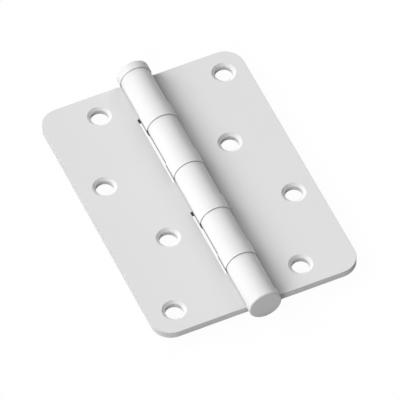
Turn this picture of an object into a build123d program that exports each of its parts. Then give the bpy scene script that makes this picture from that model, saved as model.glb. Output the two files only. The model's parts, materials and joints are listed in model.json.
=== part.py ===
from build123d import *

import os
from math import acos, asin, atan2, cos, degrees, hypot, radians, sin

# Ball bearing hinge with five knuckles, lying open and flat. Millimetres.
# The Y axis is the pin's axis, with the pin's head at +Y. X runs across the two leaves
# and Z points out of their front faces. The origin is the middle of the pin's axis.

# Leaves
leaf_length = 125.0
leaf_width = 44.5  # from the pin's axis to the long edge
leaf_thickness = 3.0
corner_radius = 8.5
axis_height = 4.8  # of the pin's axis over the leaves' back faces
edge_break = 0.12  # on the front edges of the plates

# Countersunk screw holes, four in each leaf, in two columns
holes_per_leaf = 4
hole_radius = 3.75
countersink_radius = 5.05
countersink_depth = 0.85
hole_end_margin = 10.8  # from the leaf's ends to the first and last hole
column_spacing = 12.75
left_hole_margin = 11.0  # from the left leaf's long edge to its outer column
right_hole_margin = 9.9

# Pin, with its head at the top of the barrel, and the plug at the bottom
pin_radius = 3.6
pin_clearance = 0.05  # radial, in the knuckles and the races
pin_end_chamfer = 0.8
head_height = 3.9
head_inset = 0.3  # from the leaves' top edge down to the head
head_rounding = 0.6
plug_height = 3.7
plug_rounding = 0.65
plug_shank = 5.0
pin_end_gap = 0.5  # between the pin's end and the plug's shank

# Knuckles, rolled from the sheet of the leaves
end_knuckle_reach = 19.45  # from the leaves' ends to the inner end of the knuckle there
middle_knuckle_shift = -0.75  # of the third knuckle from the leaf's middle
swage_reach = 5.75  # from the axis to where the swaged sheet is level with the plate
bend_radius = 1.5  # inside radius of the bend there
seam_gap = 0.12  # between the end of the roll and the plate's front face

# Bearings between the knuckles
bearing_height = 8.1
cover_step = 0.35  # by which covers, head and plug stand out from the knuckles
cover_wall = 0.6
cover_end_gap = 0.15  # between a cover and the knuckle below it
cover_clearance = 0.1  # radial, between a cover and the race that turns in it
spigot_radius = 4.7
spigot_length = 2.0
groove_depth = 0.3
groove_ease = 0.05  # by which the groove's radius is larger than the ball's
ball_play = 0.02
ball_count = 12
pocket_clearance = 0.04
cage_web = 0.26  # wall beside a ball's pocket
cage_clearance = 0.1  # radial, to the pin and to the cover
cage_side_gap = 0.2

# Slots beside the barrel, where the other leaf's knuckles and the bearings turn
slot_clearance = 0.6  # radial, between a cover and the slot's edge
slot_relief = 0.5  # by which a slot runs on past the bearings at its ends

# Levels and radii that follow
back_level = -axis_height
front_level = leaf_thickness - axis_height
bore_radius = pin_radius + pin_clearance
knuckle_radius = bore_radius + leaf_thickness
cover_radius = knuckle_radius + cover_step
cover_bore = cover_radius - cover_wall
slot_edge = cover_radius + slot_clearance
barrel_top = leaf_length / 2 - head_inset
barrel_bottom = -leaf_length / 2

# Balls and cage fill the channel between the pin and the cover
cage_inner = pin_radius + cage_clearance
cage_outer = cover_bore - cage_clearance
pitch_radius = (cage_inner + cage_outer) / 2
pocket_radius = (cage_outer - cage_inner) / 2 - cage_web
ball_radius = pocket_radius - pocket_clearance
groove_radius = ball_radius + groove_ease
race_spacing = 2 * (ball_radius - groove_depth)
race_height = (bearing_height - race_spacing) / 2
cage_thickness = race_spacing - 2 * cage_side_gap

# Knuckle spans down the barrel, as (top, bottom)
inner_length = (leaf_length - 2 * end_knuckle_reach - 4 * bearing_height) / 3
first_bottom = leaf_length / 2 - end_knuckle_reach
third_top = middle_knuckle_shift + inner_length / 2
third_bottom = middle_knuckle_shift - inner_length / 2
last_top = barrel_bottom + end_knuckle_reach
knuckles = [
    (barrel_top, first_bottom),
    (first_bottom - bearing_height, third_top + bearing_height),
    (third_top, third_bottom),
    (third_bottom - bearing_height, last_top + bearing_height),
    (last_top, barrel_bottom),
]
bearing_tops = [bottom for top, bottom in knuckles[:-1]]

pin_axis = Axis((0, 0, 0), (0, 1, 0))


def across_barrel(y, side=1):
    """Plane square to the pin at y: its x runs out along one leaf, its y is Z."""
    return Plane(origin=(0, y, 0), x_dir=(side, 0, 0), z_dir=(0, -side, 0))


def on_circle(radius, angle):
    """Point on a circle about the pin, with the angle in degrees."""
    return (radius * cos(radians(angle)), radius * sin(radians(angle)))


# Section of a rolled knuckle. The sheet leaves the plate, slopes down under the pin,
# and rolls round it until its end comes down on the plate's front face.
bend = (swage_reach, front_level)
bend_distance = hypot(*bend)
tangent_angle = degrees(atan2(front_level, swage_reach) - acos(bore_radius / bend_distance))
slope = tangent_angle + 90
roll_end_angle = -degrees(asin(-(front_level + seam_gap) / knuckle_radius))
back_bend_x = swage_reach + leaf_thickness * sin(radians(slope / 2)) / cos(radians(slope / 2))


def knuckle_section():
    """Face of the rolled sheet, from the slot's edge round the pin to the roll's end."""
    overlap = slot_edge + bend_radius
    FilletPolyline(
        (overlap, back_level),
        (back_bend_x, back_level),
        on_circle(knuckle_radius, tangent_angle),
        radius=bend_radius,
    )
    CenterArc(
        (0, 0),
        knuckle_radius,
        roll_end_angle,
        360 + tangent_angle - roll_end_angle,
    )
    Line(on_circle(knuckle_radius, roll_end_angle), on_circle(bore_radius, roll_end_angle))
    CenterArc((0, 0), bore_radius, roll_end_angle, 360 + tangent_angle - roll_end_angle)
    FilletPolyline(
        on_circle(bore_radius, tangent_angle),
        bend,
        (overlap, front_level),
        radius=bend_radius + leaf_thickness,
    )
    Line((overlap, front_level), (overlap, back_level))


def screw_holes(side, margin, first_column):
    """Places of one leaf's holes, which change column from row to row."""
    outer = side * (leaf_width - margin)
    columns = [outer - side * column_spacing, outer]
    row_spacing = (leaf_length - 2 * hole_end_margin) / (holes_per_leaf - 1)
    first_row = leaf_length / 2 - hole_end_margin
    return [
        (columns[(first_column + row) % 2], first_row - row * row_spacing)
        for row in range(holes_per_leaf)
    ]


def make_leaf(side, own_knuckles, holes):
    """Plate with its knuckles, in one sheet. side is 1 for the leaf at +X."""
    with BuildPart() as leaf:
        with BuildSketch(Plane.XY.offset(back_level)) as outline:
            with Locations((side * (slot_edge + leaf_width) / 2, 0)):
                Rectangle(leaf_width - slot_edge, leaf_length)
            outer_corners = outline.vertices().sort_by(Axis.X)[-2:]
            if side < 0:
                outer_corners = outline.vertices().sort_by(Axis.X)[:2]
            fillet(outer_corners, corner_radius)
        extrude(amount=leaf_thickness)
        front_face = leaf.faces().sort_by(Axis.Z)[-1]
        front_rim = front_face.edges().filter_by(
            lambda edge: abs(edge.center().X) > slot_edge + bend_radius
        )
        chamfer(front_rim, edge_break)
        for top, bottom in own_knuckles:
            with BuildSketch(across_barrel((top + bottom) / 2, side)):
                with BuildLine():
                    knuckle_section()
                make_face()
            extrude(amount=(top - bottom) / 2, both=True)
        for top in bearing_tops:
            with BuildSketch(across_barrel(top + spigot_length)):
                Circle(spigot_radius)
            extrude(amount=bearing_height + 2 * spigot_length, mode=Mode.SUBTRACT)
            with BuildSketch(across_barrel(top - bearing_height / 2, side)):
                with Locations((slot_edge / 2, (front_level - knuckle_radius) / 2)):
                    Rectangle(slot_edge, front_level + knuckle_radius)
                Circle(knuckle_radius, mode=Mode.SUBTRACT)
            extrude(amount=bearing_height / 2 + slot_relief, both=True, mode=Mode.SUBTRACT)
        with Locations(Plane.XY.offset(front_level)):
            with Locations(*holes):
                CounterSinkHole(
                    hole_radius,
                    countersink_radius,
                    counter_sink_angle=2 * degrees(
                        atan2(countersink_radius - hole_radius, countersink_depth)
                    ),
                )
    return leaf


os.makedirs("parts", exist_ok=True)

# Left leaf, with the first, third and fifth knuckle
left_leaf = make_leaf(-1, knuckles[0::2], screw_holes(-1, left_hole_margin, 0))
left_leaf.part.label = "left_leaf"
export_step(left_leaf.part, "parts/left_leaf.step")

# Right leaf, with the second and fourth knuckle
right_leaf = make_leaf(1, knuckles[1::2], screw_holes(1, right_hole_margin, 1))
right_leaf.part.label = "right_leaf"
export_step(right_leaf.part, "parts/right_leaf.step")

# Pin, turned with its head
pin_end = barrel_bottom + plug_shank + pin_end_gap
with BuildPart() as hinge_pin:
    with BuildSketch():
        with BuildLine():
            Polyline(
                (0, pin_end),
                (pin_radius - pin_end_chamfer, pin_end),
                (pin_radius, pin_end + pin_end_chamfer),
                (pin_radius, barrel_top),
                (cover_radius, barrel_top),
                (cover_radius, barrel_top + head_height),
                (0, barrel_top + head_height),
                close=True,
            )
        make_face()
    revolve(axis=pin_axis)
    head_rim = hinge_pin.edges().filter_by(GeomType.CIRCLE).sort_by(Axis.Y)[-1]
    fillet(head_rim, head_rounding)
hinge_pin.part.label = "hinge_pin"
export_step(hinge_pin.part, "parts/hinge_pin.step")

# Plug, pressed into the bottom of the last knuckle
with BuildPart() as bottom_plug:
    with BuildSketch(across_barrel(barrel_bottom)):
        Circle(cover_radius)
    extrude(amount=plug_height)
    with BuildSketch(across_barrel(barrel_bottom)):
        Circle(bore_radius)
    extrude(amount=-plug_shank)
    plug_rim = bottom_plug.edges().filter_by(GeomType.CIRCLE).sort_by(Axis.Y)[0]
    fillet(plug_rim, plug_rounding)
bottom_plug.part.label = "bottom_plug"
export_step(bottom_plug.part, "parts/bottom_plug.step")


def make_cover(top):
    """Ring round one bearing, pressed on the upper race."""
    with BuildPart() as cover:
        with BuildSketch(across_barrel(top)):
            Circle(cover_radius)
            Circle(cover_bore, mode=Mode.SUBTRACT)
        extrude(amount=bearing_height - cover_end_gap)
    return cover


def make_race(seat, inwards, radius):
    """Race with its spigot in the knuckle at seat; inwards is the Y sign to the balls."""
    face = seat + inwards * race_height
    groove_bottom = face - inwards * (groove_depth + ball_play)
    with BuildPart() as race:
        with BuildSketch():
            with BuildLine():
                Polyline(
                    (bore_radius, seat - inwards * spigot_length),
                    (spigot_radius, seat - inwards * spigot_length),
                    (spigot_radius, seat),
                    (radius, seat),
                    (radius, face),
                    (bore_radius, face),
                    close=True,
                )
            make_face()
            with Locations((pitch_radius, groove_bottom + inwards * groove_radius)):
                Circle(groove_radius, mode=Mode.SUBTRACT)
        revolve(axis=pin_axis)
    return race


def make_cage(middle):
    """Flat ring with a round pocket for each ball."""
    with BuildPart() as cage:
        with BuildSketch(across_barrel(middle)):
            Circle(cage_outer)
            Circle(cage_inner, mode=Mode.SUBTRACT)
            with PolarLocations(pitch_radius, ball_count):
                Circle(pocket_radius, mode=Mode.SUBTRACT)
        extrude(amount=cage_thickness / 2, both=True)
    return cage


def make_balls(middle):
    """One bearing's set of balls, each a solid of its own."""
    with BuildPart() as balls:
        with Locations(across_barrel(middle)):
            with PolarLocations(pitch_radius, ball_count):
                Sphere(ball_radius)
    return balls


# Four bearings, numbered from the pin's head down
for number, top in enumerate(bearing_tops, start=1):
    bottom = top - bearing_height
    middle = (top + bottom) / 2
    pieces = {
        "cover": make_cover(top),
        "upper_race": make_race(top, -1, cover_bore),
        "lower_race": make_race(bottom, 1, cover_bore - cover_clearance),
        "cage": make_cage(middle),
        "balls": make_balls(middle),
    }
    for piece_name, piece in pieces.items():
        name = f"bearing_{number}_{piece_name}"
        piece.part.label = name
        export_step(piece.part, f"parts/{name}.step")
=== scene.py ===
# %% [markdown]
# # A ball bearing hinge, dressed for its picture
#
# The hinge lies open and flat with its front faces up. Its two leaves, its pin and the four
# bearings between its knuckles come ready made at their real size, so this lesson is about the
# finish, the light and the camera. The whole frame is in metres: Y runs along the pin towards its
# head, X runs across the leaves and Z points out of their front faces. The origin is the middle
# of the pin's axis.

import json
import math

import bpy
from mathutils import Matrix, Vector


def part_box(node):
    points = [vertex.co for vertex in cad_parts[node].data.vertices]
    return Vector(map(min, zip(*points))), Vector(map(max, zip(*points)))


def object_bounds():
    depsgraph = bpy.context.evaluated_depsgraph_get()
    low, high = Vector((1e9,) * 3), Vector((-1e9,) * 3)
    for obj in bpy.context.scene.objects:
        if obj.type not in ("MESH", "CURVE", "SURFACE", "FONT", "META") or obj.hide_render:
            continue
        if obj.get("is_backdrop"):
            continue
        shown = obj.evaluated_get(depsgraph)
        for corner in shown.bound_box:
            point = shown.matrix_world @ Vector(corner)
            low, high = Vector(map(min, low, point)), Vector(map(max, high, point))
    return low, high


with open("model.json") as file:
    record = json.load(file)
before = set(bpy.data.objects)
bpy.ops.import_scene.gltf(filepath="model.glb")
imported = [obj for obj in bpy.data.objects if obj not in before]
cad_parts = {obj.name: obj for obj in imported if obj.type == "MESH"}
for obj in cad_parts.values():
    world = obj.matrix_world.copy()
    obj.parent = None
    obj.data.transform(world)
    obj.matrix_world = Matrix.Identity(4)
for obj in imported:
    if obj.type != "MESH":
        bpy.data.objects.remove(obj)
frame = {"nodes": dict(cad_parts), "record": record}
MM = 0.001
low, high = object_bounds()
print("the hinge measures", [round((b - a) / MM, 1) for a, b in zip(low, high)], "mm")

# %% [markdown]
# ## Arithmetic for finishes
#
# A finish is a small calculation for every point of the surface. It could be drawn node by node,
# but a formula is easier to read. The two classes below let us write one: a Value wraps the
# socket that a number comes out of, and adding or multiplying Values adds the Math nodes. The
# reflected forms make 1 - mask work too.

# %% A number on its way through a material
class Value:
    """A number that comes out of a socket. Arithmetic on it adds Math nodes."""

    def __init__(self, finish, socket):
        self.finish = finish
        self.socket = socket

    def __add__(self, other):
        return self.finish.maths("ADD", self, other)

    def __sub__(self, other):
        return self.finish.maths("SUBTRACT", self, other)

    def __rsub__(self, other):
        return self.finish.maths("SUBTRACT", other, self)

    def __mul__(self, other):
        return self.finish.maths("MULTIPLY", self, other)

    def __mod__(self, other):
        return self.finish.maths("MODULO", self, other)

    def __abs__(self):
        return self.finish.maths("ABSOLUTE", self)

    def __lt__(self, other):
        return self.finish.maths("LESS_THAN", self, other)

    def __gt__(self, other):
        return self.finish.maths("GREATER_THAN", self, other)

    __radd__ = __add__
    __rmul__ = __mul__


print("numbers on their way can be added, multiplied and compared")

# %% A material that is written as a formula
class Finish:
    """A material, or the world, whose nodes are added by what is asked of it."""

    def __init__(self, owner):
        owner.use_nodes = True
        self.owner = owner
        self.tree = owner.node_tree
        self.tree.nodes.clear()

    def node(self, kind, settings=None, inputs=None, output=0):
        """Adds a node, sets its settings, then its sockets, and returns one output."""
        made = self.tree.nodes.new(kind)
        for name, setting in (settings or {}).items():
            setattr(made, name, setting)
        for name, given in (inputs or {}).items():
            if isinstance(given, Value):
                self.tree.links.new(given.socket, made.inputs[name])
            else:
                made.inputs[name].default_value = given
        return Value(self, made.outputs[output]) if made.outputs else made

    def maths(self, operation, *values):
        """One Math node on numbers or Values."""
        inputs = dict(enumerate(values))
        return self.node("ShaderNodeMath", {"operation": operation}, inputs)

    def largest(self, first, *others):
        """The largest of several numbers."""
        for other in others:
            first = self.maths("MAXIMUM", first, other)
        return first

    def length(self, across, along):
        """The length of a line that goes this far across and this far along."""
        return self.maths("SQRT", across * across + along * along)

    def place(self):
        """The point on the surface, in metres in the hinge's own frame."""
        return self.node("ShaderNodeTexCoord", output="Object")

    def split(self, vector):
        """The x, y and z of a vector as three numbers."""
        parts = self.node("ShaderNodeSeparateXYZ", inputs={"Vector": vector})
        return [Value(self, socket) for socket in parts.socket.node.outputs]

    def noise(self, size, detail=2.0, stretch=(1, 1, 1)):
        """Cloudy noise with blobs of about this size, and as many times finer as stretch says."""
        spread = self.node(
            "ShaderNodeMapping",
            inputs={"Vector": self.place(), "Scale": [part / size for part in stretch]},
        )
        return self.node(
            "ShaderNodeTexNoise", inputs={"Vector": spread, "Scale": 1.0, "Detail": detail}
        )

    def rise(self, number, start, end):
        """0 up to the start, 1 from the end on, and a smooth rise between them."""
        return self.node(
            "ShaderNodeMapRange",
            {"interpolation_type": "SMOOTHSTEP"},
            {"Value": number, "From Min": start, "From Max": end},
        )

    def blend(self, mask, first, second):
        """A colour that goes from the first to the second as the mask goes from 0 to 1."""
        first, second = [end if isinstance(end, Value) else (*end, 1) for end in (first, second)]
        return self.node(
            "ShaderNodeMix", {"data_type": "RGBA"}, {0: mask, 6: first, 7: second}, output=2
        )

    def relief(self, height, depth):
        """Normals of a surface that rises by this depth in metres where height is 1."""
        return self.node(
            "ShaderNodeBump", inputs={"Strength": 1.0, "Distance": depth, "Height": height}
        )

    def surface(self, **sockets):
        """The Principled shader with these sockets, as the material's surface."""
        inputs = {name.replace("_", " "): given for name, given in sockets.items()}
        shader = self.node("ShaderNodeBsdfPrincipled", inputs=inputs)
        self.node("ShaderNodeOutputMaterial", inputs={"Surface": shader})
        return self.owner


print("finishes are written as formulas")

# %% Numbers and greys between two ends
def between(ends, share):
    """Goes from the first end to the second as the share goes from 0 to 1."""
    start, end = ends
    return start + (end - start) * share


def grey(level):
    """A colour without a tinge, from 0 for black to 1 for white."""
    return (level, level, level)


print("halfway between black and white is", grey(between((0, 1), 0.5)))

# %% [markdown]
# ## Painted shade in closed-in places
#
# Leaves, pin, plug and bearing covers share one pale grey coat. In holes, slots and narrow gaps
# its colour is darkened as painted shade, where shade would fall. Each such place could be
# painted by itself. The Ambient Occlusion node is simpler: it measures how much open air a point
# has round it, so one formula darkens whatever is closed in, also when the leaves have turned.
# The Z of the normal tells which way a face looks: 1 is up, 0 sideways and -1 down. Faces that
# look down are left out, because the ground under them would count as a wall.

# %% How closed in a point is
# painted shade: the reach within which closed-in places are darkened
SHADE_REACH = 6.0 * MM
AIR_SAMPLES = 8
UNDERSIDE = -0.5


def closed_in(coat, facing_up):
    """0 in the open, 1 deep in a hole. A face that looks down counts as open."""
    open_air = coat.node(
        "ShaderNodeAmbientOcclusion",
        {"samples": AIR_SAMPLES},
        {"Distance": SHADE_REACH},
        output="AO",
    )
    return (1 - open_air) * (1 - (facing_up < UNDERSIDE))


print("open air is looked for within", SHADE_REACH / MM, "mm of each point")

# %% Holes and slots
STEADY_PART = 0.7
DEEP_PART = 0.3
DEEP = (0.50, 0.75)


def painted_recess_shade(coat, closed):
    """Painted shade in a recess: it darkens steadily, and once more where it is deep."""
    return STEADY_PART * closed * closed + DEEP_PART * coat.rise(closed, *DEEP)


# painted shade: the share by which a point halfway closed in is darkened
print("a point halfway closed in has lost", STEADY_PART * 0.5**2, "of its coat")

# %% [markdown]
# Painted shade also darkens the barrel's low sides in the gaps where a leaf's plate ends close to
# the other leaf's knuckles, so that they look like dark lines. On the side where a knuckle is
# rolled from its own plate there is only the seam of the roll, and the painted line is faint. The
# knuckles belong to the left and the right leaf by turns, so the number of bearings further up
# tells whose knuckle it is.

# %% Whose knuckle it is
KNUCKLE_RADIUS = 6.8 * MM
BEARINGS = (1, 2, 3, 4)

covers = [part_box(f"bearing_{number}_cover") for number in BEARINGS]
bearing_middles = [(bottom.y + top.y) / 2 for bottom, top in covers]


def beside_own_plate(x, y, radius):
    """1 on the side of a knuckle where its own plate runs into it, else 0."""
    of_right_leaf = sum(y < middle for middle in bearing_middles) % 2
    on_right = x > 0
    same_side = of_right_leaf * on_right + (1 - of_right_leaf) * (1 - on_right)
    return same_side * (radius < KNUCKLE_RADIUS)


print("the bearings sit at", [round(y / MM, 1) for y in bearing_middles], "mm along the pin")

# %% Gaps along the barrel
BARREL_RADIUS = 7.1 * MM
BARREL_END = 62.1 * MM
GAP_TOP = 0.5 * MM
UPRIGHT = 0.1
NARROW = (0.20, 0.32)
# painted shade on the barrel's low sides: its strength, and how much weaker it is beside a
# knuckle's own plate
GAP_SHADE = 0.95
SEAM_EASE = 0.75


def painted_gap_shade(coat, closed, point, radius, facing_up):
    """Painted shade on the barrel's sides, low down where the plates end beside it."""
    x, y, z = point
    on_barrel = (radius < BARREL_RADIUS) * (abs(y) < BARREL_END)
    low_side = on_barrel * (z < GAP_TOP) * (facing_up < UPRIGHT)
    shade_share = GAP_SHADE - SEAM_EASE * beside_own_plate(x, y, radius)
    return coat.rise(closed, *NARROW) * low_side * shade_share


print("the gaps reach up to", GAP_TOP / MM, "mm above the pin's axis")

# %% [markdown]
# The front of each plate has a very fine bevel, which would catch the light as a broken white
# line, so painted shade darkens the bevel to hide that highlight. To find it, the plate's outline
# is taken as a rectangle that is a corner's radius smaller all round: the bevel lies about that
# radius outside it, on the straight sides and round the corners alike.

# %% The bevel round the plates
PLATE_CORNER = 8.5 * MM
RIM_BEVEL = 0.12 * MM
RIM_MARGIN = 1.1
SLANTING = (0.5, 0.9)
# painted shade on the plates' bevel: its strength
RIM_SHADE = 0.26


def painted_rim_shade(coat, point, radius, facing_up):
    """Painted shade on the bevel round the front of the plates, which dims its highlight."""
    x, y, _ = point
    far_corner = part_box("right_leaf")[1]
    past_x = coat.largest(abs(x) - (far_corner.x - PLATE_CORNER), 0.0)
    past_y = coat.largest(abs(y) - (far_corner.y - PLATE_CORNER), 0.0)
    at_edge = coat.length(past_x, past_y) > PLATE_CORNER - RIM_MARGIN * RIM_BEVEL
    slanting = (facing_up > SLANTING[0]) * (facing_up < SLANTING[1])
    return RIM_SHADE * at_edge * slanting * (radius > BARREL_RADIUS)


print("the bevel is", RIM_BEVEL / MM, "mm wide")

# %% [markdown]
# ## The grey coat
#
# The coat is baked after it is sprayed, and it flows out with a faint orange peel, some tenths of
# a millimetre from crest to crest, while its tint and sheen drift a little over some centimetres.
# Inside the barrel the steel stays bare, because the pieces are coated after they are put
# together. It was turned, so its marks are finer along the pin than round it. The radius from the
# pin's axis tells coat and steel apart, so one formula serves every coated piece.
#
# Peel and drift could come from a painted picture, but that has to be unwrapped and shows seams.
# Noise on the point's own place in the hinge has none, and comes out at its real size.

# %% Coat outside, bare steel inside the barrel
COAT_GREY = 0.70
GREY_DRIFT = 0.008
# painted shade: the grey that the coat is darkened towards where it is most closed in
SHADE_GREY = 0.03
DRIFT_SIZE = 25 * MM
DRIFT_DETAIL = 3.0
PEEL_SIZE = 0.6 * MM
PEEL_DEPTH = 0.004 * MM
COAT_ROUGHNESS = (0.54, 0.62)
COAT_SPECULAR = 0.2
BARE_RADIUS = 6.35 * MM
BARE_STEEL = (0.50, 0.49, 0.48)
BARE_ROUGHNESS = (0.24, 0.36)
TURNING_SIZE = 0.25 * MM
FINER_ALONG_PIN = (1, 3, 1)


def coated_steel():
    coat = Finish(bpy.data.materials.new("painted_steel"))
    point = coat.split(coat.place())
    x, y, z = point
    radius = coat.length(x, z)
    facing_up = coat.split(coat.node("ShaderNodeTexCoord", output="Normal"))[2]
    closed = closed_in(coat, facing_up)
    # painted shade: the strongest of the shades in recesses, in the barrel's gaps and on the bevel
    # darkens the coat's grey
    shade_share = coat.largest(
        painted_recess_shade(coat, closed),
        painted_gap_shade(coat, closed, point, radius, facing_up),
        painted_rim_shade(coat, point, radius, facing_up),
    )
    drift = coat.noise(DRIFT_SIZE, DRIFT_DETAIL)
    tint = coat.blend(drift, grey(COAT_GREY - GREY_DRIFT), grey(COAT_GREY + GREY_DRIFT))
    tint = coat.blend(shade_share, tint, grey(SHADE_GREY))
    bare = (radius < BARE_RADIUS) * (abs(y) < BARREL_END)
    turned = coat.noise(TURNING_SIZE, stretch=FINER_ALONG_PIN)
    roughness = (between(COAT_ROUGHNESS, drift), between(BARE_ROUGHNESS, turned))
    return coat.surface(
        Base_Color=coat.blend(bare, tint, BARE_STEEL),
        Metallic=bare,
        Roughness=between(roughness, bare),
        Specular_IOR_Level=COAT_SPECULAR,
        Normal=coat.relief(coat.noise(PEEL_SIZE), PEEL_DEPTH),
    )


painted = coated_steel()
# the grey printed last is that of the deepest painted shade
print("the coat is", COAT_GREY, "grey in the open and", SHADE_GREY, "where it is thinnest")

# %% [markdown]
# ## Inside the bearings
#
# Each bearing holds two hardened races, a nylon cage and a ring of polished balls. They are hidden
# while the hinge is whole, and they get their real finishes all the same: the races are turned
# and ground, which leaves fine rings about the pin, the cage is moulded and slightly
# milky, and the balls are close to a mirror. The rings are finer than a hair, so they aren't cut
# into the shape: a sine wave of the distance from the pin tilts the surface instead.

# %% Ground races
RING_PITCH = 0.08 * MM
RING_DEPTH = 0.001 * MM
RACE_CLOUD = 1.5 * MM
RACE_DETAIL = 3.0
RACE_GREYS = ((0.52, 0.52, 0.53), (0.60, 0.60, 0.61))
RACE_ROUGHNESS = (0.20, 0.30)


def ground_steel():
    steel = Finish(bpy.data.materials.new("race_steel"))
    x, y, z = steel.split(steel.place())
    wave = steel.maths("SINE", (steel.length(x, z) + y) * (2 * math.pi / RING_PITCH))
    cloud = steel.noise(RACE_CLOUD, RACE_DETAIL)
    return steel.surface(
        Base_Color=steel.blend(cloud, *RACE_GREYS),
        Metallic=1.0,
        Roughness=between(RACE_ROUGHNESS, cloud),
        Normal=steel.relief(0.5 + 0.5 * wave, RING_DEPTH),
    )


race_steel = ground_steel()
print("the races have a ring every", RING_PITCH / MM, "mm")

# %% Polished balls
HAZE_SIZE = 0.5 * MM
HAZE_DETAIL = 3.0
BALL_GREYS = ((0.72, 0.72, 0.73), (0.78, 0.78, 0.79))
BALL_ROUGHNESS = (0.05, 0.11)


def polished_steel():
    steel = Finish(bpy.data.materials.new("ball_steel"))
    haze = steel.noise(HAZE_SIZE, HAZE_DETAIL)
    return steel.surface(
        Base_Color=steel.blend(haze, *BALL_GREYS),
        Metallic=1.0,
        Roughness=between(BALL_ROUGHNESS, haze),
    )


ball_steel = polished_steel()
print("the balls are rough by no more than", BALL_ROUGHNESS[1])

# %% Moulded nylon cages
FLOW_SIZE = 1.2 * MM
FLOW_DETAIL = 3.0
GRAIN_SIZE = 0.12 * MM
GRAIN_DEPTH = 0.003 * MM
NYLON_TINTS = ((0.76, 0.74, 0.66), (0.82, 0.80, 0.72))
NYLON_ROUGHNESS = (0.46, 0.56)


def moulded_nylon():
    nylon = Finish(bpy.data.materials.new("cage_nylon"))
    flow = nylon.noise(FLOW_SIZE, FLOW_DETAIL)
    return nylon.surface(
        Base_Color=nylon.blend(flow, *NYLON_TINTS),
        Roughness=between(NYLON_ROUGHNESS, flow),
        Normal=nylon.relief(nylon.noise(GRAIN_SIZE), GRAIN_DEPTH),
    )


cage_nylon = moulded_nylon()
print("the cages' grain is", GRAIN_SIZE / MM, "mm wide")

# %% Give every piece its finish
finishes = {
    "painted_steel": painted,
    "race_steel": race_steel,
    "ball_steel": ball_steel,
    "cage_nylon": cage_nylon,
}
slot_of = {row["node"]: row["material_slot"] for row in frame["record"]["subparts"]}
for name, piece in frame["nodes"].items():
    piece.data.materials.clear()
    piece.data.materials.append(finishes[slot_of[name]])
    piece.material_slots[0].material = finishes[slot_of[name]]
print(len(frame["nodes"]), "pieces have their finish")

# %% [markdown]
# ## The ground
#
# The hinge lies on a plain white ground that fades into white all round. More light would bleach
# the pale coat, so the white is the ground's own answer to whoever looks: the camera, and the
# rays that the coat and the polished steel mirror, meet a glowing white in which the hinge's
# shadow shows faintly. Light that bounces off the ground meets a much darker floor, so that the
# lower sides of the hinge and the walls of its holes keep their shade.

# %% Who is looking
def looked_at(finish):
    """1 for what the camera sees, straight or in a mirror or through glass, else 0."""
    path = finish.node("ShaderNodeLightPath").socket.node.outputs
    kinds = [Value(finish, path[f"Is {kind} Ray"]) for kind in ("Camera", "Glossy", "Transmission")]
    return finish.largest(*kinds)


# %% The floor
FLOOR_SIZE = 6.0
FLOOR_GREY = 0.15
FLOOR_WHITE = 0.95
GLOW = 0.97
WHITE = (1, 1, 1, 1)


def ground(height):
    bpy.ops.mesh.primitive_plane_add(size=FLOOR_SIZE, location=(0, 0, height))
    floor = bpy.context.object
    floor.name = "ground"
    look = Finish(bpy.data.materials.new("ground_white"))
    seen = looked_at(look)
    shade = look.blend(seen, grey(FLOOR_GREY), grey(FLOOR_WHITE))
    matt = look.node("ShaderNodeBsdfDiffuse", inputs={"Color": shade})
    glow = look.node("ShaderNodeEmission", inputs={"Color": WHITE, "Strength": 1.0})
    mixed = look.node("ShaderNodeMixShader", inputs={0: seen * GLOW, 1: matt, 2: glow})
    look.node("ShaderNodeOutputMaterial", inputs={"Surface": mixed})
    floor.data.materials.append(look.owner)
    floor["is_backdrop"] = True


ground(low.z)
print("the ground lies at", round(low.z / MM, 2), "mm")

# %% The world beyond the floor
SKY = 0.03

world = bpy.data.worlds.new("white_room")
bpy.context.scene.world = world
sky = Finish(world)
brightness = SKY + (1 - SKY) * looked_at(sky)
backdrop = sky.node("ShaderNodeBackground", inputs={"Color": WHITE, "Strength": brightness})
sky.node("ShaderNodeOutputWorld", inputs={"Surface": backdrop})
print("the world looks white and lights the hinge with", SKY)

# %% [markdown]
# ## The light
#
# The barrel's left side is white, the leaves are even, and a soft shadow fades across the right
# leaf, so the room is lit mostly from behind on the left, and faintly from all round. A sun lamp
# with a wide disc does that: it acts like a huge softbox far away, which lights every pose of
# the hinge alike. Each row below gives where a lamp stands, counted round from the front through
# the right, how high it stands, and the share of white that it brings to a face square to it.

# %% Softboxes all round
SOFTBOX_WIDTH = math.radians(25)
SOFTBOXES = {
    "back_left": (225, 28, 0.585),
    "back_left_high": (225, 48, 0.277),
    "back": (180, 20, 0.151),
    "back_right": (135, 28, 0.334),
    "left": (270, 30, 0.196),
    "front_left": (315, 28, 0.334),
    "front_left_low": (315, 10, 0.115),
    "front_low": (0, 10, 0.156),
}


def towards(azimuth, elevation):
    """The direction to a point this far round and this high, in degrees."""
    round_about, above = math.radians(azimuth), math.radians(elevation)
    flat = math.cos(above)
    return Vector((math.sin(round_about) * flat, -math.cos(round_about) * flat, math.sin(above)))


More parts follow.
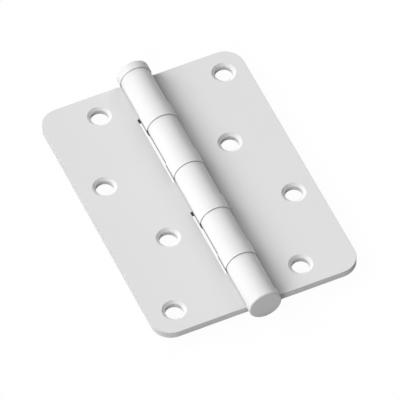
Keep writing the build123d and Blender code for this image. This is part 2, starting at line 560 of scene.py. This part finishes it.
for name, (azimuth, elevation, share) in SOFTBOXES.items():
    lamp = bpy.data.objects.new(name, bpy.data.lights.new(name, "SUN"))
    bpy.context.scene.collection.objects.link(lamp)
    lamp.data.angle = SOFTBOX_WIDTH
    lamp.data.energy = math.pi * share
    lamp.rotation_mode = "QUATERNION"
    lamp.rotation_quaternion = towards(azimuth, elevation).to_track_quat("Z", "Y")
print(len(SOFTBOXES), "softboxes stand round the hinge")

# %% [markdown]
# ## The camera
#
# The picture is taken from far off with a long lens: the leaves' far ends are hardly smaller than
# the near ones. The camera stands in front of the hinge, a little to the left, and looks down at
# it by some 52 degrees, rolled by about a degree. It aims at a point beside the middle of the
# leaves' back faces, so many pixels to the right and up, and that centres the picture. It could
# be turned with three angles, but its own right, up and back directions are easier to follow.

# %% Long lens, three metres away
AZIMUTH = -23.12
ELEVATION = 51.57
ROLL = math.radians(-1.21)
DISTANCE = 2.9478
PICTURE = 400
PIXELS_PER_METRE = 2479.0
LEAF_BACK = Vector((0, 0, -4.8 * MM))
PIXELS_RIGHT = 1.87
PIXELS_UP = -5.33
SENSOR_WIDTH = 36.0
FAR_END = 20.0

back = towards(AZIMUTH, ELEVATION)
level = towards(AZIMUTH + 90, 0)
upright = back.cross(level)
right = math.cos(ROLL) * level + math.sin(ROLL) * upright
up = math.cos(ROLL) * upright - math.sin(ROLL) * level
aim = LEAF_BACK + (PIXELS_RIGHT * right + PIXELS_UP * up) / PIXELS_PER_METRE

camera = bpy.data.objects.new("camera", bpy.data.cameras.new("camera"))
bpy.context.scene.collection.objects.link(camera)
camera.data.sensor_width = SENSOR_WIDTH
camera.data.lens = PIXELS_PER_METRE * DISTANCE / PICTURE * SENSOR_WIDTH
camera.data.clip_end = FAR_END
turn = Matrix((right, up, back)).transposed().to_4x4()
camera.matrix_world = Matrix.Translation(aim + back * DISTANCE) @ turn
bpy.context.scene.camera = camera
print("the lens is", round(camera.data.lens), "mm long")

# %% [markdown]
# ## Last look
#
# The colours are shown as they are, with no film curve. The box of the finished hinge is
# measured once more.

# %% Colours and size
bpy.context.scene.view_settings.view_transform = "Standard"
low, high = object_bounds()
